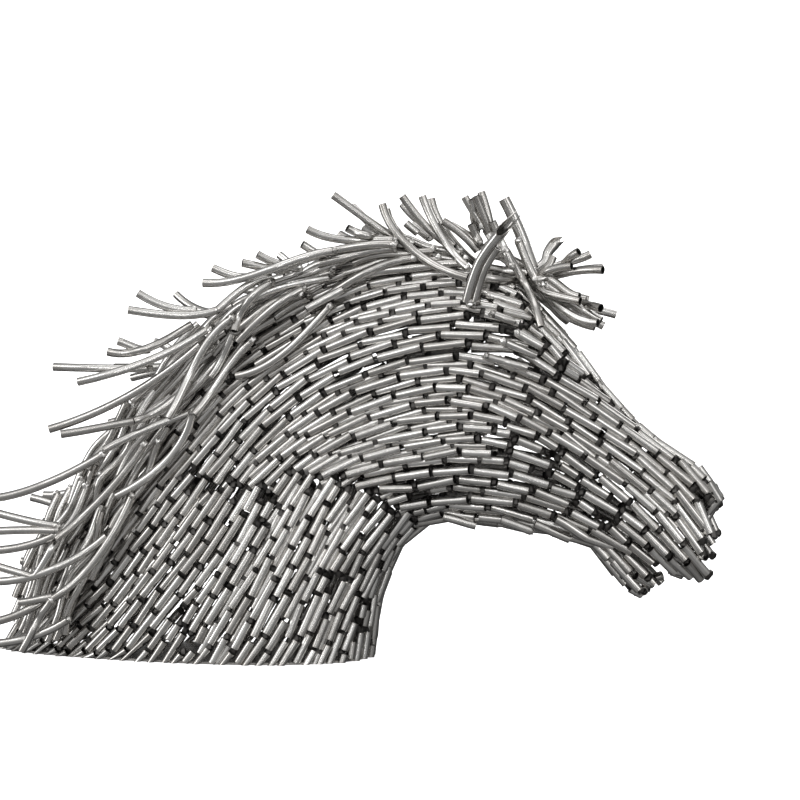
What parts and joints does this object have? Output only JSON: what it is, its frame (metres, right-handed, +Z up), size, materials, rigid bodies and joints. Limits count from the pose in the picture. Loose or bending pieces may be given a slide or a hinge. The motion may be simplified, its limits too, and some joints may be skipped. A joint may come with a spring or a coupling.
{
  "type": "pipe horse sculpture",
  "caption": "Bust of a galloping horse welded from short stainless steel pipes, with a mane of long bent pipes streaming back. It stands on the flat foot of its neck.",
  "frame": {"origin": "centre of the flat foot that the neck is cut off on", "axes": "+X the way the horse faces, +Y to its left, +Z up"},
  "size_m": [1.2697, 0.3108, 0.7573],
  "materials": {
    "stainless_steel": "satin stainless steel pipe, cut square, with plain welds"
  },
  "bodies": {
    "root": {"neck_and_head": "stainless_steel", "poll_tuft_1": "stainless_steel", "poll_tuft_2": "stainless_steel", "mane_lock_right_01": "stainless_steel", "mane_lock_right_02": "stainless_steel", "mane_lock_right_03": "stainless_steel", "mane_lock_right_04": "stainless_steel", "mane_lock_right_05": "stainless_steel", "mane_lock_right_06": "stainless_steel", "mane_lock_right_07": "stainless_steel", "mane_lock_right_08": "stainless_steel", "forelock_right": "stainless_steel", "ear_right": "stainless_steel", "mane_lock_left_01": "stainless_steel", "mane_lock_left_02": "stainless_steel", "mane_lock_left_03": "stainless_steel", "mane_lock_left_04": "stainless_steel", "mane_lock_left_05": "stainless_steel", "mane_lock_left_06": "stainless_steel", "mane_lock_left_07": "stainless_steel", "mane_lock_left_08": "stainless_steel", "forelock_left": "stainless_steel", "ear_left": "stainless_steel"}
  },
  "joints": []
}
